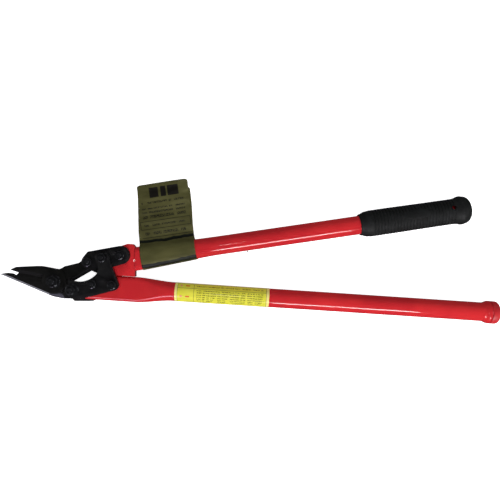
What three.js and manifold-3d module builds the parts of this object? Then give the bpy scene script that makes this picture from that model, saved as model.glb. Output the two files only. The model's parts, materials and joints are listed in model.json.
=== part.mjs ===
// Long-handled steel-strap cutter, lying flat on its side.
// Millimetres, +X from the jaws to the handle ends, +Z up from the surface it lies on.
//
// The layout origin is the blade pivot, half way through the thickness, and the jaws are closed.
// The lower blade and the lower handle are bolted between two side plates. The upper handle turns
// on the fulcrum bolt at the top of the side plates, and its drive bolt sits in a slot in the tail
// of the upper blade, so a long swing of the handle becomes a short, strong bite of the blade.

import * as THREE from 'three';
import * as BufferGeometryUtils from 'three/addons/utils/BufferGeometryUtils.js';
import Module from 'manifold-3d';

const wasm = await Module();
wasm.setup();

// ---- Driving dimensions -------------------------------------------------------------------

// Bolt centres, from the blade pivot.
const BLADE_PIVOT = [0, 0];
const TAIL_BOLT = [23.7, -9.5]; // lower blade to the plates
const HEEL_BOLT = [47.7, -2.2]; // lower handle to the plates
const SHOULDER_BOLT = [71, -3.9]; // lower handle to the plates
const FULCRUM = [58.8, 28.4]; // the upper handle turns here
const DRIVE_BOLT = [41.2, 23.3]; // works in the slot of the upper blade
const BAR_BOLT = [79.3, 31.1]; // link bars to the upper head plate

// The stack of plates, as distances from the middle of the thickness.
const BLADE_THICKNESS = 4.5;
const BLADE_GAP = 0.3;
const PLATE_THICKNESS = 3.6;
const LAYER_GAP = 0.3;
const SEAT_GAP = 0.1;
const BLADE_FACE = BLADE_GAP / 2 + BLADE_THICKNESS;
const HEAD_FACE = 4.5;
const INNER_LAYER = [BLADE_FACE + LAYER_GAP, BLADE_FACE + LAYER_GAP + PLATE_THICKNESS];
const OUTER_LAYER = [INNER_LAYER[1] + LAYER_GAP, INNER_LAYER[1] + LAYER_GAP + PLATE_THICKNESS];

// Handles: each tube's axis as its height over the pivot and its tilt, and where pieces lie on it
// along X. A tube is flat until `flatTo` and round from `roundFrom`.
const TUBE_RADIUS = 11.2;
const TUBE_WALL = 1.8;
const UPPER_AXIS = { height: 14.3, tilt: 8.27 };
const LOWER_AXIS = { height: -3.4, tilt: -3.75 };
const UPPER_TUBE = { from: 95.6, flatTo: 97, roundFrom: 198, to: 490, flatWidth: 28.2, sag: 1.7 };
const LOWER_TUBE = { from: 36, flatTo: 95, roundFrom: 142, to: 524, flatWidth: 30.2, sag: 0.6 };
const GRIP = { from: 363.2, to: 494.5 };
const END_CAP = { from: 509.5, to: 527.5 };
const LABEL = { from: 143.5, to: 255 };
const TAG_BAND = { from: 102, to: 167.5, halfWidth: 14.9, halfHeight: 10.4 };

// Fits and fasteners.
const FIT = 0.3;
const THIN = 0.3;
const SMALL = { shank: 3, acrossFlats: 10, nut: 5, head: 4, stickOut: 1.6 };
const PIVOT = { shank: 4, acrossFlats: 13, nut: 6, head: 5.3, stickOut: 2 };
const PIVOT_BOSS = { radius: 15, height: 1 };
const WASHER = { thickness: 1.4, pivotRadius: 8, tailRadius: 8 };
const SLOT = { near: 46.2, far: 50.2, halfWidth: 3.5 };
const SPACER_RADIUS = 4.3;
const STOP_GAP = 0.5;
const TANG = { length: 24, width: 17, thickness: 7.6, inTube: 18 };
const TAIL_BEVEL = { from: [19, -1.4], to: [45.3, 13.9], width: 3.6, depth: 2.2 };

const ARC_STEP = 9; // degrees between the points of an arc
const CUT_REACH = 20; // how far a cutting tool runs past the middle of the thickness
const ROUND_SIDES = 24;
const TUBE_SIDES = 40;

// ---- Materials ----------------------------------------------------------------------------

const finish = (colour, roughness, metalness) =>
  new THREE.MeshStandardMaterial({ color: colour, roughness, metalness });
const RED_PAINT = finish(0xb0262c, 0.35, 0);
const RED_CAP = finish(0xb52a2a, 0.45, 0);
const BLACK_STEEL = finish(0x1c1c1d, 0.45, 0.6);
const DARK_FASTENER = finish(0x2b2c30, 0.35, 0.9);
const BLACK_RUBBER = finish(0x121213, 0.8, 0);
const FOIL_CARD = finish(0x57562c, 0.4, 0);
const YELLOW_LABEL = finish(0xd9b21c, 0.5, 0);

// ---- Outlines -----------------------------------------------------------------------------

const { degToRad, radToDeg } = THREE.MathUtils;

function polar([x, y], radius, angle) {
  return [x + radius * Math.cos(degToRad(angle)), y + radius * Math.sin(degToRad(angle))];
}

function arcPoints(centre, radius, from, to) {
  const sides = Math.max(1, Math.ceil(Math.abs(to - from) / ARC_STEP));
  return Array.from({ length: sides + 1 }, (_, i) =>
    new THREE.Vector2(...polar(centre, radius, from + ((to - from) * i) / sides)));
}

// A step of an outline that is an arc about a centre, between two angles in degrees.
const arc = (centre, radius, from, to) => ({ centre, radius, from, to });

function stepEnd(step, which) {
  const [x, y] = step.centre ? polar(step.centre, step.radius, step[which]) : step;
  return new THREE.Vector2(x, y);
}

function roundedCorner([x, y, radius], before, after) {
  const corner = new THREE.Vector2(x, y);
  const back = before.clone().sub(corner).normalize();
  const ahead = after.clone().sub(corner).normalize();
  const half = Math.acos(back.dot(ahead)) / 2;
  const reach = radius / Math.tan(half);
  const centre = back.clone().add(ahead).setLength(radius / Math.sin(half)).add(corner);
  const first = back.clone().multiplyScalar(reach).add(corner).sub(centre);
  const sweep = (180 - 2 * radToDeg(half)) * -Math.sign(back.cross(ahead));
  const from = radToDeg(first.angle());
  return arcPoints([centre.x, centre.y], radius, from, from + sweep);
}

// A closed shape from steps that are arcs or corners [x, y, roundingRadius].
function outline(steps, holes = []) {
  const points = steps.flatMap((step, i) => {
    if (step.centre) return arcPoints(step.centre, step.radius, step.from, step.to);
    if (!step[2]) return [new THREE.Vector2(step[0], step[1])];
    const before = stepEnd(steps.at(i - 1), 'to');
    const after = stepEnd(steps[(i + 1) % steps.length], 'from');
    return roundedCorner(step, before, after);
  });
  const shape = new THREE.Shape(points);
  shape.holes = holes.map((hole) => new THREE.Path(hole));
  return shape;
}

const roundHole = (centre, radius) => arcPoints(centre, radius, 0, 360).slice(1);
const boltHoles = (...centres) => centres.map((centre) => roundHole(centre, SMALL.shank + FIT));
const pivotHole = roundHole(BLADE_PIVOT, PIVOT.shank + FIT);

// ---- Solids -------------------------------------------------------------------------------

function slab(shape, bottom, top) {
  const options = { depth: top - bottom, bevelEnabled: false };
  return new THREE.ExtrudeGeometry(shape, options).translate(0, 0, bottom);
}

const under = ([inner, outer]) => [-outer, -inner];

function toSolid(geometry) {
  const bare = geometry.clone();
  bare.deleteAttribute('normal');
  bare.deleteAttribute('uv');
  const merged = BufferGeometryUtils.mergeVertices(bare);
  return new wasm.Manifold(new wasm.Mesh({
    numProp: 3,
    vertProperties: new Float32Array(merged.attributes.position.array),
    triVerts: new Uint32Array(merged.index.array),
  }));
}

function toGeometry(solid) {
  const mesh = solid.getMesh();
  const geometry = new THREE.BufferGeometry();
  geometry.setAttribute('position', new THREE.BufferAttribute(mesh.vertProperties, 3));
  geometry.setIndex(new THREE.BufferAttribute(mesh.triVerts, 1));
  return geometry;
}

const join = (...parts) => toGeometry(parts.map(toSolid).reduce((a, b) => a.add(b)));
const cut = (body, ...tools) =>
  toGeometry(tools.map(toSolid).reduce((a, b) => a.subtract(b), toSolid(body)));

// A solid of revolution about X, from a profile of [distance along X, radius] points.
function turned(profile, sides = ROUND_SIDES) {
  const points = profile.map(([along, radius]) => new THREE.Vector2(radius, along));
  return new THREE.LatheGeometry(points, sides).rotateZ(-Math.PI / 2);
}

// The same, standing up along Z.
const upright = (profile, sides) => turned(profile, sides).rotateY(-Math.PI / 2);

const ringProfile = (inner, outer, from, to) =>
  [[from, inner], [from, outer], [to, outer], [to, inner], [from, inner]];
const discProfile = (radius, from, to) => [[from, 0], [from, radius], [to, radius], [to, 0]];

// A wedge that grinds a bevel beside the edge from a to b, on its right-hand side. The bevel
// starts `width` in from the edge on the face at height `face`, and is `depth` deep at the edge;
// a negative depth grinds the underside.
function bevelWedge(a, b, face, width, depth) {
  const along = new THREE.Vector3(b[0] - a[0], b[1] - a[1], 0);
  const length = along.length();
  along.normalize();
  const margin = width / 2;
  const clear = Math.sign(depth) * margin;
  const section = new THREE.Shape([
    new THREE.Vector2(-width, face),
    new THREE.Vector2(margin, face - (depth * (width + margin)) / width),
    new THREE.Vector2(margin, face + clear),
    new THREE.Vector2(-width, face + clear),
  ]);
  const wedge = new THREE.ExtrudeGeometry(section, { depth: length, bevelEnabled: false });
  const outward = new THREE.Vector3(along.y, -along.x, 0);
  const basis = new THREE.Matrix4()
    .makeBasis(outward, new THREE.Vector3(0, 0, 1), along.clone().negate())
    .setPosition(b[0], b[1], 0);
  return wedge.applyMatrix4(basis);
}

// ---- Assembly helpers ---------------------------------------------------------------------

const tool = new THREE.Group();

function addMesh(name, geometry, material, parent = tool) {
  const mesh = new THREE.Mesh(geometry, material);
  mesh.name = name;
  parent.add(mesh);
  return mesh;
}

// A group whose X axis is a handle's axis, with its origin over the blade pivot.
function handleFrame({ height, tilt }) {
  const frame = new THREE.Group();
  frame.position.set(0, height, 0);
  frame.rotation.z = degToRad(tilt);
  tool.add(frame);
  return frame;
}

const upperFrame = handleFrame(UPPER_AXIS);
const lowerFrame = handleFrame(LOWER_AXIS);
const alongAxis = ({ tilt }, x) => x / Math.cos(degToRad(tilt));

function hexBolt(size, bottom, tip) {
  const corner = size.acrossFlats / 2 / Math.cos(Math.PI / 6);
  const chamfer = 0.8;
  const shank = upright([
    [bottom + size.head / 2, 0], [bottom + size.head / 2, size.shank],
    [tip - chamfer, size.shank], [tip, size.shank - chamfer], [tip, 0],
  ]);
  return join(upright(discProfile(corner, bottom, bottom + size.head), 6), shank);
}

function hexNut(size, bottom) {
  const corner = size.acrossFlats / 2 / Math.cos(Math.PI / 6);
  const corners = [0, 60, 120, 180, 240, 300].map((angle) => polar([0, 0], corner, angle));
  return slab(outline(corners, [roundHole([0, 0], size.shank + FIT / 2)]), bottom, bottom + size.nut);
}

// A bolt from below and its nut, through a stack between two heights.
function addBolt(name, [x, y], bottom, top, size, turn) {
  const bolt = hexBolt(size, bottom - SEAT_GAP - size.head, top + SEAT_GAP + size.nut + size.stickOut);
  const nut = hexNut(size, top + SEAT_GAP);
  for (const [kind, geometry] of [['bolt', bolt], ['nut', nut]]) {
    const mesh = addMesh(`${name}_${kind}`, geometry, DARK_FASTENER);
    mesh.position.set(x, y, 0);
    mesh.rotation.z = degToRad(turn);
  }
}

function addRing(name, [x, y], inner, outer, bottom, top) {
  addMesh(name, upright(ringProfile(inner, outer, bottom, top)), DARK_FASTENER).position.set(x, y, 0);
}

// ---- Blades -------------------------------------------------------------------------------

function addUpperBlade() {
  const slotAngle = radToDeg(Math.atan2(DRIVE_BOLT[1], DRIVE_BOLT[0]));
  const [near, far] = [SLOT.near, SLOT.far].map((reach) => polar(BLADE_PIVOT, reach, slotAngle));
  const slot = [
    ...arcPoints(near, SLOT.halfWidth, slotAngle + 90, slotAngle + 270),
    ...arcPoints(far, SLOT.halfWidth, slotAngle - 90, slotAngle + 90),
  ];
  const tip = [-54.8, 13.6];
  const edgeStart = [-43, 9.8];
  const edgeEnd = [-14.5, 4.2];
  const shape = outline([
    tip, [-45.7, 17.2, 8], [-17.1, 18.4, 40], [5.5, 14, 9], [12, 17.9, 8], [29, 22, 6],
    arc(far, 7.5, 150, -10), [...TAIL_BEVEL.to, 0.8], [...TAIL_BEVEL.from, 3],
    arc(BLADE_PIVOT, PIVOT_BOSS.radius, -25, -170), edgeEnd, edgeStart,
  ], [pivotHole, slot]);
  const bossTop = BLADE_FACE + PIVOT_BOSS.height;
  const boss = upright(ringProfile(PIVOT.shank + FIT, PIVOT_BOSS.radius, BLADE_FACE - 1, bossTop), 32);
  const blade = join(slab(shape, BLADE_GAP / 2, BLADE_FACE), boss);
  const edgeBevel = bevelWedge(edgeStart, edgeEnd, BLADE_FACE, 4.4, 3.4);
  const noseBevel = bevelWedge([-60, 16.3], edgeStart, BLADE_FACE, 3.2, 3);
  const { from, to, width, depth } = TAIL_BEVEL;
  const tailBevel = bevelWedge(from, to, BLADE_FACE, width, depth);
  addMesh('upper_blade', cut(blade, edgeBevel, noseBevel, tailBevel), BLACK_STEEL);
}

function addLowerBlade() {
  const toe = [-69.2, 8.5];
  const heel = [-5.1, -18.7];
  const shape = outline([
    toe, [-59.1, 9.8, 2], [-53.1, 8.8], [-49.1, 6.5], [-44.5, 10.6], [-13, 5.2, 4],
    arc(BLADE_PIVOT, 14, 140, 30), [17, -1, 8], [35.4, -5.6], [35.4, -21.2, 1], [8, -21.4, 20], heel,
  ], [pivotHole, ...boltHoles(TAIL_BOLT)]);
  const blade = slab(shape, -BLADE_FACE, -BLADE_GAP / 2);
  const top = -BLADE_GAP / 2;
  const lowerBevel = bevelWedge([-76, 11.4], [4, -22.6], top, 2.6, 2.2);
  const heelBevel = bevelWedge([-9, -17.6], [17, -22.3], top, 5.5, 2.4);
  const edgeBevel = bevelWedge([-13, 5.2], [-44.5, 10.6], -BLADE_FACE, 4.4, -3.4);
  addMesh('lower_blade', cut(blade, lowerBevel, heelBevel, edgeBevel), BLACK_STEEL);
}

// ---- Plates -------------------------------------------------------------------------------

const PLATE_ARC = 18.8; // the plates' left ends curve round the blade pivot
const WAIST = { centre: [32.2, 26.7], radius: 26.7 };
const LOW_WAIST = [[22.4, -3.6, 2], [27.6, -2.4, 3]];
const BAR_SWEEP = 26.6; // keeps the inner plates clear of the bars as they turn

// The left edge stays clear of the drive bolt's nut and head as the handle opens. The back plate's
// waist starts lower than the front one's, as the carrier plate's does.
function addSidePlates() {
  const rest = [
    [52.6, 9.7, 1.2], [54.2, 14, 1.5], [53.5, 20, 4], arc(FULCRUM, 8.5, 180, 0),
    [70.4, 17.2, 8], [79.2, -5.2, 5], [74.8, -10, 5], [37.8, -19.4, 12], [16, -19.4, 4],
  ];
  const holes = boltHoles(TAIL_BOLT, HEEL_BOLT, SHOULDER_BOLT, FULCRUM);
  const { centre, radius } = WAIST;
  const front = outline([
    arc(BLADE_PIVOT, PLATE_ARC, -50, 4), arc(centre, radius, -116, -45), ...rest,
  ], holes);
  const back = outline([
    arc(BLADE_PIVOT, PLATE_ARC, -50, -12), ...LOW_WAIST, arc(centre, radius, -90, -45), ...rest,
  ], holes);
  addMesh('side_plate_front', slab(front, ...OUTER_LAYER), BLACK_STEEL);
  addMesh('side_plate_back', slab(back, ...under(OUTER_LAYER)), BLACK_STEEL);
}

function addInnerPlates() {
  const inset = 1;
  const waist = (from) => arc(WAIST.centre, WAIST.radius + inset, from, -55);
  const sweep = arc(FULCRUM, BAR_SWEEP + inset, -112, -58);
  const right = [[78, -5.2, 4], [74.2, -9, 4]];
  const filler = outline([
    arc(BLADE_PIVOT, PLATE_ARC + inset, -50, 2), waist(-114), sweep, ...right, [37.6, -18.4, 12],
    [17, -18.4, 4],
  ], boltHoles(TAIL_BOLT, HEEL_BOLT, SHOULDER_BOLT));
  addMesh('filler_plate_front', slab(filler, ...INNER_LAYER), BLACK_STEEL);
  const carrier = outline([
    arc(BLADE_PIVOT, 12.5, -75, -330), [18.6, -4.2, 3], ...LOW_WAIST, waist(-90), sweep, ...right,
    [49, -19.5, 4], [43, -24.6, 3], [19.5, -24.6, 3], [16, -19.5, 3],
  ], [pivotHole, ...boltHoles(TAIL_BOLT, HEEL_BOLT, SHOULDER_BOLT)]);
  addMesh('blade_carrier_plate', slab(carrier, ...under(INNER_LAYER)), BLACK_STEEL);
}

function addLinkBars() {
  const shape = outline([
    arc(DRIVE_BOLT, 8, 246, 143), [40.5, 35.3, 3], arc(BAR_BOLT, 11, 100, -83), [62, 15, 6],
    [52.6, 9.5, 2],
  ], boltHoles(DRIVE_BOLT, FULCRUM, BAR_BOLT));
  addMesh('link_bar_front', slab(shape, ...INNER_LAYER), BLACK_STEEL);
  addMesh('link_bar_back', slab(shape, ...under(INNER_LAYER)), BLACK_STEEL);
}

// ---- Handles ------------------------------------------------------------------------------

// Half width and half thickness of a tube pressed flat: its perimeter stays the same.
function pressedSection(width) {
  const thickness = (2 * Math.PI * TUBE_RADIUS - 2 * width) / (Math.PI - 2);
  return { half: (width - thickness) / 2, radius: thickness / 2 };
}

// A tube along X that is pressed flat at its start and swells to round, with its end cut upright.
function pressedTube({ from, flatTo, roundFrom, to, flatWidth, sag }, axis) {
  const [start, flatEnd, roundStart, end] = [from, flatTo, roundFrom, to].map((x) => alongAxis(axis, x));
  const squareOff = 12;
  const stations = [start, start + squareOff, flatEnd].filter((x, i) => i === 0 || x < roundStart);
  for (let i = 1; i <= 8; i += 1) stations.push(flatEnd + ((roundStart - flatEnd) * i) / 8);
  stations.push(end);
  const rows = [...new Set(stations)].sort((a, b) => a - b);
  const bore = TUBE_RADIUS - TUBE_WALL;
  const profile = [
    ...rows.map((x) => [x, TUBE_RADIUS]), ...rows.toReversed().map((x) => [x, bore]), [rows[0], TUBE_RADIUS],
  ];
  const tube = turned(profile, TUBE_SIDES);
  const at = tube.attributes.position;
  for (let i = 0; i < at.count; i += 1) {
    const [x, y, z] = [at.getX(i), at.getY(i), at.getZ(i)];
    const r = Math.hypot(y, z);
    const wall = TUBE_RADIUS - r;
    const swell = THREE.MathUtils.smoothstep(x, flatEnd, roundStart);
    const { half, radius } = pressedSection(THREE.MathUtils.lerp(flatWidth, 2 * TUBE_RADIUS, swell));
    const side = Math.abs(y) < r / 1000 ? 0 : Math.sign(y);
    const across = half * side + ((radius - wall) * y) / r - sag * (1 - swell);
    const squared = 1 - THREE.MathUtils.smoothstep(x, start, start + squareOff);
    at.setXYZ(i, x + across * Math.tan(degToRad(axis.tilt)) * squared, across, ((radius - wall) * z) / r);
  }
  return tube;
}

function holeTool([x, y]) {
  return upright(discProfile(SMALL.shank + FIT, -CUT_REACH, CUT_REACH)).translate(x, y, 0);
}

function toLayout(geometry, { height, tilt }) {
  return geometry.rotateZ(degToRad(tilt)).translate(0, height, 0);
}

function addLowerHandle() {
  const tube = toLayout(pressedTube(LOWER_TUBE, LOWER_AXIS), LOWER_AXIS);
  // The end is trimmed to the waist of the plates, out of the way of the upper blade's tail.
  const trim = slab(outline([
    arc(WAIST.centre, WAIST.radius + 2, -150, -30), [57.5, 24], [8, 24],
  ]), -CUT_REACH, CUT_REACH);
  const holes = [HEEL_BOLT, SHOULDER_BOLT].map(holeTool);
  addMesh('lower_handle_tube', cut(tube, trim, ...holes), RED_PAINT);

  const [start, end] = [END_CAP.from, END_CAP.to].map((x) => alongAxis(LOWER_AXIS, x));
  const bore = TUBE_RADIUS + FIT;
  const cap = [
    [end - 2.5, 0], [end - 2.5, bore], [start, bore], [start, bore + 0.6], [start + 5.5, 13.3],
    [start + 8, 13.5], [start + 8.2, 13.1], [start + 8.8, 13.1], [start + 9, 13.5],
    [end - 3, 13.4], [end - 1, 12.5], [end, 10.5], [end, 0],
  ];
  addMesh('lower_end_cap', turned(cap, TUBE_SIDES), RED_CAP, lowerFrame);

  const [labelStart, labelEnd] = [LABEL.from, LABEL.to].map((x) => alongAxis(LOWER_AXIS, x));
  const label = ringProfile(TUBE_RADIUS + FIT, TUBE_RADIUS + FIT + THIN, labelStart, labelEnd);
  addMesh('handle_label', turned(label, TUBE_SIDES), YELLOW_LABEL, lowerFrame);
}

function addUpperHandle() {
  const stopLine = (x) => LOWER_AXIS.height - LOWER_TUBE.sag + LOWER_TUBE.flatWidth / 2 + STOP_GAP
    + x * Math.tan(degToRad(LOWER_AXIS.tilt));
  const right = UPPER_TUBE.from - LAYER_GAP;
  const head = slab(outline([
    [right, stopLine(right)], [67, stopLine(67), 1.5], arc(FULCRUM, 7.5, 225, 60),
    [80.3, 42.5, 4], [86.8, 44.6, 6], [92.8, 44.2, 3], [right, 40.9],
  ], boltHoles(FULCRUM, BAR_BOLT)), -HEAD_FACE, HEAD_FACE);
  const tangMiddle = alongAxis(UPPER_AXIS, right + TANG.inTube) - TANG.length / 2;
  const tang = new THREE.BoxGeometry(TANG.length, TANG.width, TANG.thickness)
    .translate(tangMiddle, -UPPER_TUBE.sag, 0);
  addMesh('upper_head_plate', join(head, toLayout(tang, UPPER_AXIS)), RED_PAINT);

  addMesh('upper_handle_tube', pressedTube(UPPER_TUBE, UPPER_AXIS), RED_PAINT, upperFrame);

  const [start, end] = [GRIP.from, GRIP.to].map((x) => alongAxis(UPPER_AXIS, x));
  const bore = TUBE_RADIUS + FIT;
  const grip = [
    [end - 4, 0], [end - 4, bore], [start, bore], [start, 12.2], [start + 4, 14.2], [start + 8, 15.1],
    [start + 14, 15.8], [end - 24, 15.4], [end - 19, 16.2], [end - 15, 17.1], [end - 11, 17.1],
    [end - 7, 16.2], [end - 3, 13.6], [end - 1, 11], [end, 7], [end, 0],
  ];
  addMesh('rubber_grip', turned(grip, TUBE_SIDES), BLACK_RUBBER, upperFrame);
}

// The folded foil tag: a band round the upper handle, and the flap where its two ends meet.
function addTag() {
  const [start, end] = [TAG_BAND.from, TAG_BAND.to].map((x) => alongAxis(UPPER_AXIS, x));
  const half = TAG_BAND.halfWidth - TAG_BAND.halfHeight;
  const loop = (offset) => [
    ...arcPoints([0, half], TAG_BAND.halfHeight + offset, 0, 180),
    ...arcPoints([0, -half], TAG_BAND.halfHeight + offset, 180, 360),
  ];
  const section = new THREE.Shape(loop(2 * THIN));
  section.holes.push(new THREE.Path(loop(0)));
  const band = new THREE.ExtrudeGeometry(section, { depth: end - start, bevelEnabled: false });
  // The section was drawn with x as height and y across the tube; it runs along the tube.
  band.applyMatrix4(new THREE.Matrix4().makeBasis(
    new THREE.Vector3(0, 0, 1), new THREE.Vector3(0, 1, 0), new THREE.Vector3(-1, 0, 0),
  ));
  band.translate(end, -0.75 * UPPER_TUBE.sag, 0);
  const flap = slab(outline([
    [102.6, 42.6], [96.1, 115.3, 3], [157.4, 122.1, 3], [165.6, 51.8],
  ]), -1.5 * THIN, 1.5 * THIN);
  addMesh('hang_tag', join(toLayout(band, UPPER_AXIS), flap), FOIL_CARD);
}

// ---- Fasteners ----------------------------------------------------------------------------

function addFasteners() {
  const outer = OUTER_LAYER[1];
  const inner = INNER_LAYER[1];
  const washerTop = outer + SEAT_GAP + WASHER.thickness;
  addRing('tail_washer', TAIL_BOLT, SMALL.shank + FIT, WASHER.tailRadius, outer + SEAT_GAP, washerTop);
  addBolt('tail', TAIL_BOLT, -outer, washerTop, SMALL, 12);
  addBolt('heel', HEEL_BOLT, -outer, outer, SMALL, 40);
  addBolt('shoulder', SHOULDER_BOLT, -outer, outer, SMALL, 25);
  addBolt('fulcrum', FULCRUM, -outer, outer, SMALL, 5);
  addBolt('drive', DRIVE_BOLT, -inner, inner, SMALL, 33);
  addBolt('bar', BAR_BOLT, -inner, inner, SMALL, 48);

  const bossTop = BLADE_FACE + PIVOT_BOSS.height;
  const pivotTop = bossTop + SEAT_GAP + WASHER.thickness;
  addRing('pivot_washer', BLADE_PIVOT, PIVOT.shank + FIT, WASHER.pivotRadius, bossTop + SEAT_GAP, pivotTop);
  addBolt('pivot', BLADE_PIVOT, -inner, pivotTop, PIVOT, 20);

  const bore = SMALL.shank + FIT;
  addRing('tail_spacer', TAIL_BOLT, bore, SPACER_RADIUS, 0, BLADE_FACE + LAYER_GAP / 2);
  addRing('drive_spacer', DRIVE_BOLT, bore, SPACER_RADIUS, -BLADE_FACE, -BLADE_GAP / 2);
}

addUpperBlade();
addLowerBlade();
addSidePlates();
addInnerPlates();
addLinkBars();
addLowerHandle();
addUpperHandle();
addTag();
addFasteners();

// The part stands on z = 0, with its origin under the middle of its outline.
tool.updateMatrixWorld(true);
const bounds = new THREE.Box3().setFromObject(tool, true);
const middle = bounds.getCenter(new THREE.Vector3());
tool.position.set(-middle.x, -middle.y, -bounds.min.z);

export default tool;
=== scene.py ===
"""Steel-strap cutter lying on its side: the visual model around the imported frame.

The tool's sizes are in millimetres and are turned into metres where a mesh is made; the studio's are
in metres. A handle's pieces are modelled along that handle's axis: x along it, y across it and z up.
"""

import json
import math

import bmesh
import bpy
from mathutils import Matrix, Vector, noise


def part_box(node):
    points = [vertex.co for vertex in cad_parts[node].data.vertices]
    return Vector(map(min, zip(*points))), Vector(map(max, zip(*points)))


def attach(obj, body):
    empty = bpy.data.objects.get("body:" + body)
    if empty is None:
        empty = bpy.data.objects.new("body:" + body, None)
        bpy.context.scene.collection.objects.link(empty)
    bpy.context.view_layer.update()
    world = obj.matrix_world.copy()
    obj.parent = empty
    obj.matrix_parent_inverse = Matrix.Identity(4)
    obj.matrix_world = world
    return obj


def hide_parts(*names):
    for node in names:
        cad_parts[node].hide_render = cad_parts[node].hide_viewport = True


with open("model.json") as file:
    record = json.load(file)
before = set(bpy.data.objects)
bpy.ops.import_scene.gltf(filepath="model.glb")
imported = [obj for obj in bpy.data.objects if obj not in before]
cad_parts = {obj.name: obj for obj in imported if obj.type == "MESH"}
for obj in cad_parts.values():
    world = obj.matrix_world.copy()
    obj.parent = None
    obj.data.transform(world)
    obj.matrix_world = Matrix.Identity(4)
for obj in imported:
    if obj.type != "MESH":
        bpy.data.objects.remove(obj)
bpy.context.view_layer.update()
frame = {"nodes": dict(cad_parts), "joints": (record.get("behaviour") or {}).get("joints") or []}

MM = 0.001
MICRON = 0.001 * MM
# Where a turned shape meets its axis, it closes with a ring this small.
TIP_RADIUS = 0.02
JOINTS = {joint["name"]: Vector(joint["pos_m"]) for joint in frame["joints"]}
PIVOT = JOINTS["blade_bite"]

# Handles, from the blade pivot: the height and tilt of each axis, and where things lie along it.
TUBE_RADIUS = 11.2
TUBE_WALL = 1.8
UPPER_AXIS = {"height": 14.3, "tilt": 8.27}
LOWER_AXIS = {"height": -3.4, "tilt": -3.75}
UPPER_TUBE = {"start": 95.6, "flat_to": 97, "round_from": 198, "end": 490, "flat": 28.2, "sag": 1.7}
LOWER_TUBE = {"start": 36, "flat_to": 95, "round_from": 142, "end": 524, "flat": 30.2, "sag": 0.6}
TUBE_EDGES = {"upper": 0.5, "lower": 0.4}
SQUARE_OFF = 12
TUBE_SIDES = 96
FLAT_CROWN = 0.18
# The room that a tube has inside its grip or its end cap.
FIT = 0.3
GRIP = {"start": 363.2, "end": 494.5}
END_CAP = {"start": 509.5, "end": 527.5, "radius": 13.5, "flare": 7, "seam": 8.6, "seam_depth": 1.1}
END_CAP_CORNER = {"along": 2.6, "across": 3.0}
LABEL = {"start": 143.5, "end": 255, "gap": 5, "inside": 0.04, "outside": 0.2}
TAG = {"left": 103.6, "right": 169.6, "flap_left": 109.6, "flap_right": 171.3, "top": 85, "back_top": 75}
TAG_CORNER = 3
TAG_THICKNESS = 0.26
WAIST = {"centre": (32.2, 26.7), "radius": 28.7}
BOLT_HOLE = 3.3
# How far a cutter reaches above and below the tool's middle plane, past anything that it cuts.
THROUGH = 20

SMALL_HEX = {"across": 10, "shank": 3, "pitch": 1.0, "head": 4}
PIVOT_HEX = {"across": 13, "shank": 4, "pitch": 1.25, "head": 5.3}
NUT_TURNS = {"tail": 12, "heel": 40, "shoulder": 25, "fulcrum": 5, "drive": 33, "bar": 48, "pivot": 20}
WASHER_BORES = {"tail_washer": 3.3, "pivot_washer": 4.3}
HEX_SIDES = 72
CHAMFER_SLOPE = math.tan(math.radians(30))
# A hexagon's flat end face as a share of its width, and the step under one that isn't cut to a cone.
HEX_FACE = 0.96
HEX_STEP = 0.05

# How wide the bevel on each kind of edge is.
PLATE_EDGE = 0.35
BLADE_EDGE = 0.18
SPACER_EDGE = 0.2
HEAD_EDGE = 0.6
FASTENER_EDGE = 0.12


# ---- Meshes -------------------------------------------------------------------------------

def smoothstep(value, low, high):
    t = min(max((value - low) / (high - low), 0.0), 1.0)
    return t * t * (3 - 2 * t)


def lerp(a, b, t):
    return a + (b - a) * t


def steps(low, high, count):
    return [lerp(low, high, i / count) for i in range(count + 1)]


def full_turn(sides):
    return [2 * math.pi * j / sides for j in range(sides)]


def skin(rows, looped=False):
    """Points and faces of a closed skin over rows of points, capped at both ends or looped."""
    around = len(rows[0])
    points = [point for row in rows for point in row]
    faces = []
    for i in range(len(rows) if looped else len(rows) - 1):
        first, second = i * around, ((i + 1) % len(rows)) * around
        for j in range(around):
            k = (j + 1) % around
            faces.append((first + j, first + k, second + k, second + j))
    if not looped:
        faces.append(tuple(range(around)))
        faces.append(tuple(range(len(points) - around, len(points))))
    return points, faces


def make_mesh(name, points, faces):
    mesh = bpy.data.meshes.new(name)
    mesh.from_pydata([Vector(point) * MM for point in points], [], faces)
    shaped = bmesh.new()
    shaped.from_mesh(mesh)
    bmesh.ops.remove_doubles(shaped, verts=shaped.verts, dist=0.5 * MICRON)
    bmesh.ops.recalc_face_normals(shaped, faces=shaped.faces)
    shaped.to_mesh(mesh)
    shaped.free()
    return mesh


def shade(mesh, sharp_angle=35):
    mesh.shade_smooth()
    mesh.set_sharp_from_angle(angle=math.radians(sharp_angle))


def add_piece(name, mesh, place, body, replaced, material, sharp_angle=35):
    """Adds a piece made in Blender that stands for CAD nodes and rides on a body."""
    shade(mesh, sharp_angle)
    piece = bpy.data.objects.new(name, mesh)
    bpy.context.scene.collection.objects.link(piece)
    piece.matrix_world = place
    mesh.materials.append(material)
    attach(piece, body)
    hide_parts(*replaced)
    return piece


def round_edges(piece, width, segments=2, angle=35):
    bevel = piece.modifiers.new("rounded_edges", "BEVEL")
    bevel.width = width * MM
    bevel.segments = segments
    bevel.limit_method = "ANGLE"
    bevel.angle_limit = math.radians(angle)
    bevel.harden_normals = True
    return bevel


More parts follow.
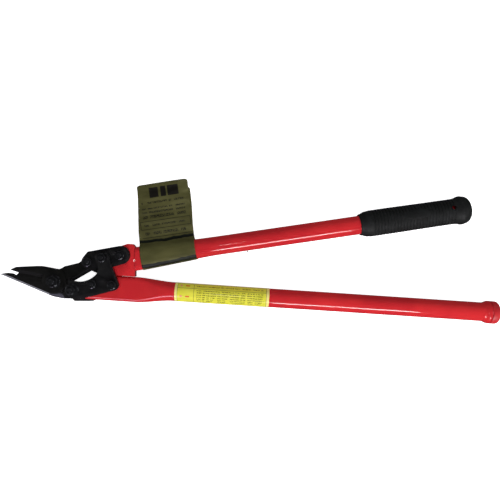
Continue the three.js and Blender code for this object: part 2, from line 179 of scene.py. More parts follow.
def cut_away(mesh, cutters):
    """The mesh without the space that the cutter meshes fill."""
    body = bpy.data.objects.new("cut_body", mesh)
    bpy.context.scene.collection.objects.link(body)
    tools = []
    for i, cutter in enumerate(cutters):
        tool = bpy.data.objects.new(f"cutter_{i}", cutter)
        bpy.context.scene.collection.objects.link(tool)
        tools.append(tool)
        modifier = body.modifiers.new("cut", "BOOLEAN")
        modifier.operation = "DIFFERENCE"
        modifier.solver = "EXACT"
        modifier.object = tool
    evaluated = body.evaluated_get(bpy.context.evaluated_depsgraph_get())
    result = bpy.data.meshes.new_from_object(evaluated)
    for item in [body, *tools]:
        bpy.data.objects.remove(item)
    return result


def turned(profile, sides):
    """A solid of revolution about x from [x, radius] points, the first and last on the axis."""
    def ring(x, radius):
        return [(x, radius * math.cos(a), radius * math.sin(a)) for a in full_turn(sides)]
    return skin([ring(x, max(radius, TIP_RADIUS)) for x, radius in profile])


def disc_cutter(name, x, y, radius, bottom, top, sides=32):
    circle = [(x + radius * math.cos(a), y + radius * math.sin(a)) for a in full_turn(sides)]
    return make_mesh(name, *skin([[(*point, z) for point in circle] for z in (bottom, top)]))


def handle_place(axis):
    """The matrix of a handle's own frame: its x axis is the handle's axis."""
    shift = Matrix.Translation(PIVOT + Vector((0, axis["height"] * MM, 0)))
    return shift @ Matrix.Rotation(math.radians(axis["tilt"]), 4, "Z")


def along(axis, x):
    return x / math.cos(math.radians(axis["tilt"]))


UPPER_PLACE = handle_place(UPPER_AXIS)
LOWER_PLACE = handle_place(LOWER_AXIS)


# ---- Material building blocks ---------------------------------------------------------------

class Shader:
    """A material's node tree, with one method for each block that the finishes share."""

    def __init__(self, name, colour, **sockets):
        self.material = bpy.data.materials.new(name)
        self.material.use_nodes = True
        self.tree = self.material.node_tree
        self.surface = self.tree.nodes["Principled BSDF"]
        self.surface.inputs["Base Color"].default_value = (*colour, 1)
        for socket, value in sockets.items():
            self.surface.inputs[socket.replace("_", " ")].default_value = value
        self.place = self.add("ShaderNodeTexCoord").outputs["Object"]
        self.mm = self.scaled(1 / MM)
        self.heights = []

    def add(self, kind, **settings):
        node = self.tree.nodes.new(kind)
        for key, value in settings.items():
            setattr(node, key, value)
        return node

    def feed(self, socket, value):
        if isinstance(value, bpy.types.NodeSocket):
            self.tree.links.new(value, socket)
        else:
            socket.default_value = value

    def scaled(self, scale):
        """The object's own coordinates times a scale, or a scale for each axis."""
        mapping = self.add("ShaderNodeMapping")
        self.tree.links.new(self.place, mapping.inputs["Vector"])
        mapping.inputs["Scale"].default_value = scale if hasattr(scale, "__len__") else (scale,) * 3
        return mapping.outputs["Vector"]

    def axes(self, vector=None):
        split = self.add("ShaderNodeSeparateXYZ")
        self.tree.links.new(vector or self.mm, split.inputs[0])
        return split.outputs

    def math(self, operation, *values, clamp=False):
        node = self.add("ShaderNodeMath", operation=operation, use_clamp=clamp)
        for socket, value in zip(node.inputs, values):
            self.feed(socket, value)
        return node.outputs[0]

    def noise(self, size, detail=3.0, roughness=0.55, stretch=(1, 1, 1)):
        """Noise with features about that many millimetres across."""
        texture = self.add("ShaderNodeTexNoise")
        vector = self.scaled([1 / (MM * size * s) for s in stretch])
        self.tree.links.new(vector, texture.inputs["Vector"])
        texture.inputs["Scale"].default_value = 1.0
        texture.inputs["Detail"].default_value = detail
        texture.inputs["Roughness"].default_value = roughness
        return texture.outputs["Fac"]

    def remap(self, value, low, high, to_low=0.0, to_high=1.0):
        node = self.add("ShaderNodeMapRange", interpolation_type="SMOOTHSTEP")
        for socket, item in zip(node.inputs, (value, low, high, to_low, to_high)):
            self.feed(socket, item)
        return node.outputs[0]

    def mix(self, mask, first, second):
        node = self.add("ShaderNodeMix", data_type="RGBA")
        self.feed(node.inputs[0], mask)
        for index, colour in ((6, first), (7, second)):
            is_socket = isinstance(colour, bpy.types.NodeSocket)
            self.feed(node.inputs[index], colour if is_socket else (*colour, 1))
        return node.outputs[2]

    def near(self, value, centre, reach):
        """1 where the value is within reach of the centre, otherwise 0."""
        return self.math("COMPARE", value, centre, reach)

    def any_of(self, masks):
        total = masks[0]
        for mask in masks[1:]:
            total = self.math("MAXIMUM", total, mask)
        return total

    def colour(self, value):
        self.feed(self.surface.inputs["Base Color"], value)

    def rough(self, value):
        self.feed(self.surface.inputs["Roughness"], value)

    def metal(self, value):
        self.feed(self.surface.inputs["Metallic"], value)

    def bump(self, height, depth, strength=1.0):
        """Adds relief of that depth in millimetres, on top of any relief already there."""
        node = self.add("ShaderNodeBump")
        node.inputs["Strength"].default_value = strength
        node.inputs["Distance"].default_value = depth * MM
        self.feed(node.inputs["Height"], height)
        if self.heights:
            self.feed(node.inputs["Normal"], self.heights[-1])
        self.heights.append(node.outputs["Normal"])
        self.feed(self.surface.inputs["Normal"], node.outputs["Normal"])


# ---- Finishes -----------------------------------------------------------------------------

def red_enamel():
    """Sprayed gloss enamel: a faint orange peel, thin spots of darker red and fine rub marks."""
    s = Shader("red_enamel", (0.5, 0.02, 0.024), Specular_IOR_Level=0.45)
    cloud = s.remap(s.noise(38, 2), 0.35, 0.7)
    specks = s.remap(s.noise(1.1, 2), 0.70, 0.78)
    red = s.mix(cloud, (0.49, 0.018, 0.024), (0.56, 0.023, 0.027))
    s.colour(s.mix(specks, red, (0.24, 0.01, 0.012)))
    rubs = s.remap(s.noise(1.6, 4, 0.7, stretch=(14, 1, 1)), 0.52, 0.75)
    s.rough(s.remap(rubs, 0, 1, 0.07, 0.15))
    s.bump(s.noise(2.2, 1), 0.012)
    s.bump(s.noise(0.35, 2), 0.003)
    return s.material


def red_plastic():
    """Moulded plastic: even colour, finer grain and softer gloss than the enamel beside it."""
    s = Shader("red_plastic", (0.46, 0.019, 0.024), Specular_IOR_Level=0.4)
    s.colour(s.mix(s.remap(s.noise(9, 3), 0.3, 0.7), (0.43, 0.018, 0.023), (0.5, 0.022, 0.026)))
    s.rough(s.remap(s.noise(3, 3), 0.3, 0.7, 0.3, 0.44))
    s.bump(s.noise(0.5, 3), 0.01)
    return s.material


def black_plate():
    """Black-oxide plate: a fine blasted grain, faint oily clouds and edges rubbed to dark steel."""
    s = Shader("black_plate", (0.007, 0.007, 0.008), Specular_IOR_Level=0.2)
    cloud = s.remap(s.noise(7, 4, 0.65), 0.35, 0.7)
    edge = s.remap(surface_lean(s), 0.15, 0.6, 0, 0.75)
    oxide = s.mix(cloud, (0.0045, 0.0045, 0.005), (0.0085, 0.0085, 0.009))
    s.colour(s.mix(edge, oxide, (0.05, 0.05, 0.055)))
    s.metal(edge)
    s.rough(s.remap(s.noise(1.8, 4), 0.3, 0.75, 0.28, 0.42))
    s.bump(s.noise(0.55, 4, 0.7), 0.035)
    return s.material


def surface_lean(s):
    """How far the surface leans: 0 where it lies flat or stands upright, and most in between."""
    normal = s.add("ShaderNodeNewGeometry").outputs["True Normal"]
    upright = s.math("ABSOLUTE", s.axes(normal)[2])
    return s.math("MULTIPLY", upright, s.math("SUBTRACT", 1.0, s.math("MULTIPLY", upright, upright)))


def blade_steel(name, shallow, steep):
    """Blackened tool steel with grinding marks across the leaning faces that the wheel has bared.

    shallow and steep are the bare steel's colours on gently and on steeply leaning faces.
    """
    s = Shader(name, (0.006, 0.006, 0.006), Specular_IOR_Level=0.18)
    lean = surface_lean(s)
    marks = s.noise(0.6, 2, 0.5, stretch=(1, 6, 6))
    black = s.mix(s.remap(s.noise(6, 4, 0.7), 0.35, 0.7), (0.0038, 0.0038, 0.0035), (0.0065, 0.0065, 0.006))
    bare = s.mix(s.remap(lean, 0.2, 0.28), shallow, steep)
    worn = s.mix(s.remap(marks, 0.3, 0.7, 0, 0.2), bare, (0.01, 0.01, 0.01))
    ground = s.remap(lean, 0.05, 0.12)
    s.colour(s.mix(ground, black, worn))
    s.metal(s.math("MULTIPLY", ground, 0.3))
    s.rough(s.remap(s.noise(1.5, 4), 0.3, 0.7, 0.34, 0.5))
    s.bump(s.noise(0.5, 4, 0.7), 0.03)
    s.bump(marks, 0.004)
    return s.material


def dark_fastener():
    """Black-plated nuts and bolts: dark glossy flats, rubbed lighter where a wrench has turned them."""
    s = Shader("dark_fastener", (0.03, 0.031, 0.035), Metallic=0.85)
    rubbed = s.remap(s.noise(3.5, 3, 0.6), 0.45, 0.75)
    s.colour(s.mix(rubbed, (0.042, 0.043, 0.048), (0.12, 0.123, 0.135)))
    s.rough(s.remap(s.noise(2, 3), 0.3, 0.75, 0.14, 0.26))
    s.bump(s.noise(0.6, 3, 0.6), 0.006)
    return s.material


def ribbed_rubber():
    """Moulded rubber: matte, with a fine leathery grain, paler where hands have dried it."""
    s = Shader("ribbed_rubber", (0.009, 0.0095, 0.0095), Specular_IOR_Level=0.25)
    worn = s.remap(s.noise(11, 4, 0.6), 0.42, 0.72)
    s.colour(s.mix(worn, (0.0072, 0.0078, 0.0078), (0.0125, 0.0135, 0.014)))
    s.rough(s.remap(s.noise(2.5, 4), 0.3, 0.7, 0.5, 0.68))
    s.bump(s.noise(0.45, 3, 0.6), 0.04)
    return s.material


def print_rows(s, x, y, rows, left, right, size=0.5):
    """Rows of short printed marks of about that size, as small print looks when too small to read."""
    strokes = s.remap(s.noise(size, 1, stretch=(0.9, 1, 40)), 0.46, 0.5)
    words = s.remap(s.noise(5 * size, 0, stretch=(1, 9, 40)), 0.38, 0.42)
    lines = s.any_of([s.near(y, centre, reach) for centre, reach in rows])
    inside = s.near(x, (left + right) / 2, (right - left) / 2)
    marks = s.math("MULTIPLY", strokes, words)
    return s.math("MULTIPLY", s.math("MULTIPLY", marks, lines), inside)


def rule(s, across, centre, reach, along_axis, low, high):
    """A thin printed line: within reach of a centre one way, and from low to high the other way."""
    return s.math(
        "MULTIPLY", s.near(across, centre, reach), s.near(along_axis, (low + high) / 2, (high - low) / 2)
    )


TAG_BLOCKS = [(129.0, 5.4), (140.6, 3.2), (152.3, 6.6)]
TAG_BLOCK_ROW = {"y": 74.2, "half_height": 6.0}
TAG_ROWS = [(62.5, 1.1), (55.6, 0.9), (51.2, 1.1), (45.6, 1.8), (35.6, 1.1), (25.8, 1.7)]
# Bands of painted shade on the tag: one along the fold above the tube, one along the underside of the loop.
TAG_FOLD_SHADE = {"y": 16.9, "half_height": 1.7}
TAG_SHADE = {"left": -12.6, "right": -9.6, "half_height": 2.3}
TAG_FRAME = {"left": 108, "right": 168, "bottom": 31.0, "top": 40.6, "low_line": 21.0}


def foil_card():
    """Olive gold foil on card, printed with plain blocks, rules and strokes, with two bands of painted
    shade.
    """
    s = Shader("foil_card", (0.1, 0.095, 0.034), Metallic=0.3, Specular_IOR_Level=0.25)
    x, y, _ = s.axes()
    above_fold = s.math("GREATER_THAN", y, 16.5)
    in_row = s.near(y, TAG_BLOCK_ROW["y"], TAG_BLOCK_ROW["half_height"])
    blocks = [s.math("MULTIPLY", s.near(x, centre, reach), in_row) for centre, reach in TAG_BLOCKS]
    left, right = TAG_FRAME["left"], TAG_FRAME["right"]
    bottom, top = TAG_FRAME["bottom"], TAG_FRAME["top"]
    rules = [rule(s, y, height, 0.3, x, left, right) for height in (top, bottom, TAG_FRAME["low_line"])]
    rules += [rule(s, x, side, 0.3, y, bottom, top) for side in (left, right)]
    small_print = print_rows(s, x, y, TAG_ROWS, 112, 164, 1.1)
    ink = s.math("MULTIPLY", s.any_of([*blocks, small_print, *rules]), above_fold)
    cloud = s.remap(s.noise(14, 3, 0.5, stretch=(3, 1, 1)), 0.3, 0.75)
    foil = s.mix(cloud, (0.069, 0.0675, 0.0235), (0.108, 0.105, 0.038))
    # Painted shade: wavy near-black bands at the fold and along the loop's underside stand in for the shade
    # and dark reflections of the foil's tilted faces.
    wave = s.math("MULTIPLY", s.math("SUBTRACT", s.noise(16, 2, stretch=(1, 4, 4)), 0.5), 5)
    waved = s.math("ADD", y, wave)
    shade_row = s.remap(x, TAG["left"], TAG["right"], TAG_SHADE["left"], TAG_SHADE["right"])
    off_shade = s.math("ABSOLUTE", s.math("SUBTRACT", waved, shade_row))
    off_fold = s.math("ABSOLUTE", s.math("SUBTRACT", waved, TAG_FOLD_SHADE["y"]))
    dark = s.math(
        "MAXIMUM",
        s.remap(off_shade, TAG_SHADE["half_height"] - 0.4, TAG_SHADE["half_height"] + 0.4, 1, 0),
        s.remap(off_fold, TAG_FOLD_SHADE["half_height"] - 0.5, TAG_FOLD_SHADE["half_height"] + 0.5, 1, 0),
    )
    # The foil turns near-black inside the bands of painted shade.
    folded = s.mix(dark, foil, (0.008, 0.010, 0.007))
    s.colour(s.mix(ink, folded, (0.010, 0.009, 0.007)))
    s.rough(s.remap(s.noise(4, 4, stretch=(2, 1, 1)), 0.3, 0.7, 0.28, 0.45))
    s.bump(s.noise(7, 2, 0.5, stretch=(4, 1, 1)), 0.10)
    s.bump(s.noise(0.3, 2), 0.008)
    return s.material


LABEL_FRAME = {"left": 147, "right": 252.2, "divider": 166.5, "header": 6.2, "half_height": 13.4}
LABEL_ROWS = [(9.6, 0.75)] + [(3.9 - 2.6 * i, 0.7) for i in range(6)]
LABEL_MARK_ROWS = (9.6, -3.8)
LABEL_LINE = 0.22


def printed_label():
    """Yellow vinyl with a framed table, rows of small print and a few plain red blocks."""
    s = Shader("printed_label", (0.62, 0.60, 0.05), Specular_IOR_Level=0.45)
    x, y, z = s.axes()
    arc = s.math("MULTIPLY", s.math("ARCTAN2", y, z), TUBE_RADIUS)
    left, right, half = LABEL_FRAME["left"], LABEL_FRAME["right"], LABEL_FRAME["half_height"]
    inside = s.math(
        "MULTIPLY", s.near(x, (left + right) / 2, (right - left) / 2), s.near(arc, 0, half)
    )
    line = LABEL_LINE
    rules = [
        rule(s, x, left, line, arc, -half, half), rule(s, x, right, line, arc, -half, half),
        rule(s, arc, half, line, x, left, right), rule(s, arc, -half, line, x, left, right),
        rule(s, x, LABEL_FRAME["divider"], line, arc, -half, half),
        rule(s, arc, LABEL_FRAME["header"], line, x, left, right),
    ]
    small_print = print_rows(s, x, arc, LABEL_ROWS, LABEL_FRAME["divider"] + 2.5, right - 2.5)
    blocks = [
        s.math("MULTIPLY", s.near(x, 159, 2.4), s.near(arc, row, 0.9)) for row in LABEL_MARK_ROWS
    ]
    squares = [
        s.math("MULTIPLY", s.near(x, 151.5, 1.3), s.near(arc, row, 1.3)) for row in LABEL_MARK_ROWS
    ]
    fade = s.remap(s.noise(14, 3), 0.3, 0.7)
    yellow = s.mix(fade, (0.62, 0.60, 0.05), (0.70, 0.67, 0.07))
    paper = s.mix(inside, (0.78, 0.70, 0.22), yellow)
    marked = s.mix(s.any_of(squares), paper, (0.72, 0.30, 0.14))
    marked = s.mix(s.any_of(blocks), marked, (0.62, 0.12, 0.02))
    s.colour(s.mix(s.any_of([small_print, *rules]), marked, (0.10, 0.10, 0.02)))
    s.rough(s.remap(s.noise(5, 4), 0.3, 0.7, 0.07, 0.13))
    s.bump(s.noise(6, 2), 0.03)
    s.bump(s.noise(0.4, 2), 0.004)
    return s.material


def pale_floor():
    """Plain matte studio paper, lit from within like a light table."""
    s = Shader("pale_floor", (0.88, 0.88, 0.88), Specular_IOR_Level=0.1, Emission_Strength=0.95)
    s.surface.inputs["Emission Color"].default_value = (1, 1, 1, 1)
    s.colour(s.mix(s.noise(60, 3), (0.87, 0.87, 0.87), (0.89, 0.89, 0.89)))
    s.rough(s.remap(s.noise(20, 3), 0.3, 0.7, 0.85, 0.95))
    s.bump(s.noise(0.8, 2), 0.01)
    return s.material


ENAMEL = red_enamel()
PLASTIC = red_plastic()
PLATE = black_plate()
UPPER_STEEL = blade_steel("upper_blade_steel", (0.04, 0.04, 0.042), (0.012, 0.012, 0.012))
LOWER_STEEL = blade_steel("lower_blade_steel", (0.055, 0.057, 0.072), (0.30, 0.31, 0.34))
FASTENER = dark_fastener()
RUBBER = ribbed_rubber()
FOIL = foil_card()
VINYL = printed_label()


# ---- CAD nodes that keep their shape ----------------------------------------------------------

def finish_cad(node, material, edge):
    """Gives a CAD node its material and rounds its edges without moving its mesh."""
    piece = frame["nodes"][node]
    piece.data.materials.clear()
    piece.data.materials.append(material)
    piece.data.shade_smooth()
    weld = piece.modifiers.new("weld", "WELD")
    weld.merge_threshold = MICRON
    round_edges(piece, edge)


def finish_kept_nodes():
    for node in ("side_plate_front", "side_plate_back", "filler_plate_front", "blade_carrier_plate",
                 "link_bar_front", "link_bar_back"):
        finish_cad(node, PLATE, PLATE_EDGE)
    finish_cad("upper_blade", UPPER_STEEL, BLADE_EDGE)
    finish_cad("lower_blade", LOWER_STEEL, BLADE_EDGE)
    for node in ("tail_spacer", "drive_spacer"):
        finish_cad(node, FASTENER, SPACER_EDGE)
    finish_cad("upper_head_plate", ENAMEL, HEAD_EDGE)


# ---- Tubes --------------------------------------------------------------------------------

def pressed_section(width, inset):
    """The outline of a round tube pressed to a width, inset by part of the wall.

    Its perimeter is kept, its points are evenly spaced and its flat sides are slightly crowned.
    """
    thickness = (2 * math.pi * TUBE_RADIUS - 2 * width) / (math.pi - 2)
    half, radius = (width - thickness) / 2, thickness / 2
    quarter = half + math.pi * radius / 2
    outline = []
    for j in range(TUBE_SIDES):
        turn, part = divmod(4 * j / TUBE_SIDES, 1)
        reach = quarter * (part if turn % 2 == 0 else 1 - part)
        if reach < math.pi * radius / 2:
            angle = reach / radius
            y, z = half + (radius - inset) * math.cos(angle), (radius - inset) * math.sin(angle)
        else:
            y, z = half - (reach - math.pi * radius / 2), radius - inset
        z += FLAT_CROWN * (half / radius) * smoothstep(1 - abs(y) / (width / 2), 0, 1)
        outline.append((y if turn in (0, 3) else -y, z if turn in (0, 1) else -z))
    return outline


def tube_row(tube, axis, x, inset):
    flat_to, round_from = along(axis, tube["flat_to"]), along(axis, tube["round_from"])
    swell = smoothstep(x, flat_to, round_from)
    start = along(axis, tube["start"])
    squared = (1 - smoothstep(x, start, start + SQUARE_OFF)) * math.tan(math.radians(axis["tilt"]))
    drop = tube["sag"] * (1 - swell)
    width = lerp(tube["flat"], 2 * TUBE_RADIUS, swell)
    return [(x + (y - drop) * squared, y - drop, z) for y, z in pressed_section(width, inset)]


def pressed_tube(tube, axis):
    start, end = along(axis, tube["start"]), along(axis, tube["end"])
    flat_to, round_from = along(axis, tube["flat_to"]), along(axis, tube["round_from"])
    stations = sorted(set(
        steps(start, start + SQUARE_OFF, 6) + steps(flat_to, round_from, 36) + steps(round_from, end, 12)
    ))
    outside = [tube_row(tube, axis, x, 0) for x in stations]
    inside = [tube_row(tube, axis, x, TUBE_WALL) for x in reversed(stations)]
    return skin(outside + inside, looped=True)


def arc_points(centre, radius, start, end, count):
    angles = [math.radians(a) for a in steps(start, end, count)]
    return [(centre[0] + radius * math.cos(a), centre[1] + radius * math.sin(a)) for a in angles]


def waist_cutter():
    """The space that the upper blade's tail works in, cut from the end of the lower tube."""
    outline = arc_points(WAIST["centre"], WAIST["radius"], -150, -30, 48) + [(57.5, 24), (8, 24)]
    return make_mesh("waist_cutter", *skin([[(x, y, z) for x, y in outline] for z in (-THROUGH, THROUGH)]))


def add_tubes():
    upper = make_mesh("upper_tube", *pressed_tube(UPPER_TUBE, UPPER_AXIS))
    piece = add_piece("upper_tube_skin", upper, UPPER_PLACE, "upper_handle",
                      ["upper_handle_tube"], ENAMEL)
    round_edges(piece, TUBE_EDGES["upper"], 3, 50)

    lower = make_mesh("lower_tube", *pressed_tube(LOWER_TUBE, LOWER_AXIS))
    to_layout = LOWER_PLACE.inverted() @ Matrix.Translation(PIVOT)
    cutters = [waist_cutter()]
    for node in ("heel_bolt", "shoulder_bolt"):
        spot = (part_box(node)[0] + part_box(node)[1]) / 2 - PIVOT
        hole = disc_cutter(node + "_hole", spot.x / MM, spot.y / MM, BOLT_HOLE, -THROUGH, THROUGH)
        cutters.append(hole)
    for cutter in cutters:
        cutter.transform(to_layout)
    piece = add_piece("lower_tube_skin", cut_away(lower, cutters), LOWER_PLACE, "lower_handle",
                      ["lower_handle_tube"], ENAMEL)
    round_edges(piece, TUBE_EDGES["lower"], 2, 50)


def add_end_cap():
    """The flared end of the tube, a dark seam round it and the cap that closes it."""
    start, end = along(LOWER_AXIS, END_CAP["start"]), along(LOWER_AXIS, END_CAP["end"])
    bore = TUBE_RADIUS + FIT
    seam = start + END_CAP["seam"]
    lip, full = TUBE_RADIUS + 0.05, END_CAP["radius"]
    groove = full - END_CAP["seam_depth"]
    flare_end = start + END_CAP["flare"]
    profile = [(end - 2.5, 0), (end - 2.5, bore), (start + 1.5, bore), (start, lip)]
    for x in steps(start + 0.4, flare_end, 12):
        profile.append((x, lerp(lip, full, smoothstep(x, start, flare_end))))
    profile += [(seam - 0.7, full), (seam - 0.5, full - 0.1), (seam - 0.4, groove)]
    profile += [(seam + 0.4, groove), (seam + 0.5, full - 0.1), (seam + 0.75, full)]
    for turn in steps(0, 90, 10):
        lean = math.radians(turn)
        x = end - END_CAP_CORNER["along"] + END_CAP_CORNER["along"] * math.sin(lean)
        radius = full - END_CAP_CORNER["across"] + END_CAP_CORNER["across"] * math.cos(lean)
        profile.append((x, radius))
    profile.append((end, 0))
    mesh = make_mesh("end_cap", *turned(profile, TUBE_SIDES))
    piece = add_piece("end_cap_skin", mesh, LOWER_PLACE, "lower_handle", ["lower_end_cap"],
                      PLASTIC, 50)
    piece.data.materials.append(ENAMEL)
    for face in piece.data.polygons:
        if face.center.x < seam * MM:
            face.material_index = 1


def add_label():
    """A thin sheet round the tube, its two ends meeting underneath with a narrow gap."""
    start, end = along(LOWER_AXIS, LABEL["start"]), along(LOWER_AXIS, LABEL["end"])
    gap = math.radians(LABEL["gap"])
    inner, outer = TUBE_RADIUS + LABEL["inside"], TUBE_RADIUS + LABEL["outside"]
    angles = steps(gap - math.pi, math.pi - gap, 90)
    outline = [(outer * math.sin(a), outer * math.cos(a)) for a in angles]
    outline += [(inner * math.sin(a), inner * math.cos(a)) for a in reversed(angles)]
    rows = [[(x, y, z) for y, z in outline] for x in steps(start, end, 16)]
    mesh = make_mesh("label", *skin(rows))
    add_piece("label_sheet", mesh, LOWER_PLACE, "lower_handle", ["handle_label"], VINYL)


# ---- Grip ---------------------------------------------------------------------------------

GRIP_SIDES = 144
GRIP_CORNER = {"from_end": 7, "flat_radius": 6.5, "round_radius": 9.8}
RIBS = {"from_start": 15.5, "pitch": 3.8, "count": 26, "depth": 0.85, "half_width": 0.85}
PATCH = {"x": 432.4, "angle": 11, "half_length": 19, "half_arc": 6.4}
PEEP_HOLE = {"x": 476.9, "y": 4.2, "radius": 2.6}


def eased(points, x):
    """A smooth curve through [x, value] points."""
    for (x0, value0), (x1, value1) in zip(points, points[1:]):
        if x <= x1:
            return lerp(value0, value1, smoothstep(x, x0, x1))
    return points[-1][1]


def grip_radius(x, angle, start, end):
    base = eased([
        (start, 12.3), (start + 1, 12.9), (start + 8, 15.1), (start + 14, 15.8), (end - 20, 15.2),
        (end - 17.5, 15.5), (end - 11.5, 17.1), (end - 10, 17.1), (end - 7, 16.3),
    ], x)
    position = (x - start - RIBS["from_start"]) / RIBS["pitch"]
    nearest = min(max(round(position), 0), RIBS["count"] - 1)
    off = abs(position - nearest) * RIBS["pitch"]
    groove = 1 - smoothstep(off, 0.25 * RIBS["half_width"], RIBS["half_width"])
    across = (x - PATCH["x"]) / PATCH["half_length"]
    around = math.radians(angle - PATCH["angle"]) * base / PATCH["half_arc"]
    reach = math.hypot(across, around)
    plain = 1 - smoothstep(reach, 0.86, 1.0)
    rim = 0.12 * (1 - smoothstep(abs(reach - 0.93) * PATCH["half_arc"], 0.2, 0.6))
    return base - RIBS["depth"] * groove * (1 - plain) - rim * plain


def grip_stations(start, end):
    """Rows close together across each groove and at the rounded ends, and wider apart elsewhere."""
    half = RIBS["half_width"]
    rows = set(steps(start, start + 14.5, 22) + steps(end - 26, end - 7, 26))
    for rib in range(RIBS["count"]):
        groove = start + RIBS["from_start"] + rib * RIBS["pitch"]
        rows.update(groove + half * t for t in (-1.1, -0.8, -0.55, -0.25, 0, 0.25, 0.55, 0.8, 1.1))
        rows.add(groove + RIBS["pitch"] / 2)
    return sorted(rows)


def add_grip():
    start, end = along(UPPER_AXIS, GRIP["start"]), along(UPPER_AXIS, GRIP["end"])
    bore = TUBE_RADIUS + FIT
    angles = [360 * j / GRIP_SIDES - 180 for j in range(GRIP_SIDES)]

    def ring(x, radius_at):
        points = []
        for angle in angles:
            radius, lean = radius_at(angle), math.radians(angle)
            points.append((x, radius * math.sin(lean), radius * math.cos(lean)))
        return points

    rows = [ring(end - 4, lambda angle: TIP_RADIUS), ring(end - 4, lambda angle: bore)]
    rows += [ring(start, lambda angle: radius) for radius in (bore, 11.9)]
    for x in grip_stations(start, end):
        rows.append(ring(x, lambda angle, x=x: grip_radius(x, angle, start, end)))
    for tilt in steps(10, 90, 12):
        turn = math.radians(tilt)
        x = end - GRIP_CORNER["from_end"] + GRIP_CORNER["from_end"] * math.sin(turn)
        radius = GRIP_CORNER["flat_radius"] + GRIP_CORNER["round_radius"] * math.cos(turn)
        rows.append(ring(x, lambda angle, radius=radius: radius))
    rows.append(ring(end, lambda angle: TIP_RADIUS))
    hole = disc_cutter("peep_hole", PEEP_HOLE["x"], PEEP_HOLE["y"], PEEP_HOLE["radius"], 0, THROUGH)
    mesh = cut_away(make_mesh("grip", *skin(rows)), [hole])
    add_piece("grip_skin", mesh, UPPER_PLACE, "upper_handle", ["rubber_grip"], RUBBER, 60)


# ---- Foil tag -----------------------------------------------------------------------------

# The loop round the tube, at the strip's left and right edges: half its width, its rise and its middle.
TAG_LOOP = {"half": (15.0, 12.7), "rise": (7.6, 11.3), "middle": (-1.3, -0.1)}
FLAP_START = 2.2
FLAP_GAP = 0.55


def tag_section(part):
    """The folded strip in section, as [y, z] points from the front flap's top to the back flap's.

    part runs from 0 at the strip's left edge to 1 at its right, where the tube is rounder.
    """
    half, rise, middle = (lerp(*TAG_LOOP[key], part) for key in ("half", "rise", "middle"))
    flap_start = middle + half + FLAP_START
    front = [(y, FLAP_GAP) for y in steps(TAG["top"], flap_start, 70)]
    loop = []
    for turn in steps(8, 352, 86):
        lean = math.radians(turn)
        across = math.copysign(abs(math.cos(lean)) ** 0.9, math.cos(lean))
        up = math.copysign(abs(math.sin(lean)) ** 0.8, math.sin(lean))
        loop.append((middle + half * across, up * rise))
    back = [(y, -FLAP_GAP) for y in steps(flap_start, TAG["back_top"], 62)]
    section = front + loop + back
    for _ in range(3):
        inner = [
            ((a[0] + 2 * b[0] + c[0]) / 4, (a[1] + 2 * b[1] + c[1]) / 4)
            for a, b, c in zip(section, section[1:], section[2:])
        ]
        section = [section[0], *inner, section[-1]]
    return section


def crease(x, y):
    """Creases in the foil: long shallow ones across the tag and a few short sharp ones."""
    long_ones = noise.noise(Vector((x * 0.022, y * 0.11, 1.0)))
    sharp = abs(noise.noise(Vector((x * 0.05, y * 0.16, 8.0))))
    return 0.9 * long_ones + 0.5 * (0.25 - sharp)


def tag_point(part, y, z, is_front):
    """A point of the tag: part runs from its left edge to its right, and y and z are its section."""
    height = smoothstep(y, 14, TAG["top"])
    left = lerp(TAG["left"], TAG["flap_left"], height)
    right = lerp(TAG["right"], TAG["flap_right"], height)
    top = TAG["top"] if is_front else TAG["back_top"]
    short = max(0.0, TAG_CORNER - (top - y))
    inset = TAG_CORNER - math.sqrt(max(TAG_CORNER ** 2 - short ** 2, 0)) if short else 0
    shift = 0 if is_front else 1.7 * smoothstep(y, 20, 60)
    x = lerp(left + inset, right - inset, part) + shift
    on_flap = smoothstep(y, 17, 24)
    lift = crease(x, y) * lerp(0.35, 1.0, on_flap)
    floppy = 1.6 * smoothstep(y, 30, TAG["top"]) * math.sin(part * 2.6 - 0.7)
    return Vector((x, y, z + lift + floppy * on_flap))


def add_tag():
    columns = steps(0, 1, 64)
    sections = [tag_section(part) for part in columns]
    count, width = len(sections[0]), len(columns)
    points = [
        tag_point(part, *section[i], i < count / 2)
        for i in range(count) for part, section in zip(columns, sections)
    ]
    faces = [
        (i * width + j, i * width + j + 1, (i + 1) * width + j + 1, (i + 1) * width + j)
        for i in range(count - 1) for j in range(width - 1)
    ]
    mesh = make_mesh("tag", points, faces)
    piece = add_piece("foil_tag", mesh, UPPER_PLACE, "upper_handle", ["hang_tag"], FOIL, 75)
    solid = piece.modifiers.new("thickness", "SOLIDIFY")
    solid.thickness = TAG_THICKNESS * MM
    solid.offset = 0


# ---- Nuts, bolts and washers --------------------------------------------------------------

def hex_reach(across, angle):
    """How far a hexagon's edge is from its middle at an angle."""
    lean = (math.degrees(angle) % 60) - 30
    return across / 2 / math.cos(math.radians(lean))


def hex_rows(across, bottom, top, chamfer_bottom, chamfer_top):
    """Rows up the sides of a hexagon whose ends are turned to a cone, so its corners are cut round."""
    washer = across / 2 * HEX_FACE
    angles = full_turn(HEX_SIDES)

    def edge(height, direction, is_cut):
        row = []
        for a in angles:
            reach = hex_reach(across, a)
            drop = (reach - washer) * CHAMFER_SLOPE if is_cut else HEX_STEP
            row.append((reach * math.cos(a), reach * math.sin(a), height - direction * drop))
        return row

    def circle(height):
        return [(washer * math.cos(a), washer * math.sin(a), height) for a in angles]

    return [circle(bottom), edge(bottom, -1, chamfer_bottom), edge(top, 1, chamfer_top), circle(top)]


def round_row(radius, height):
    return [(radius * math.cos(a), radius * math.sin(a), height) for a in full_turn(HEX_SIDES)]


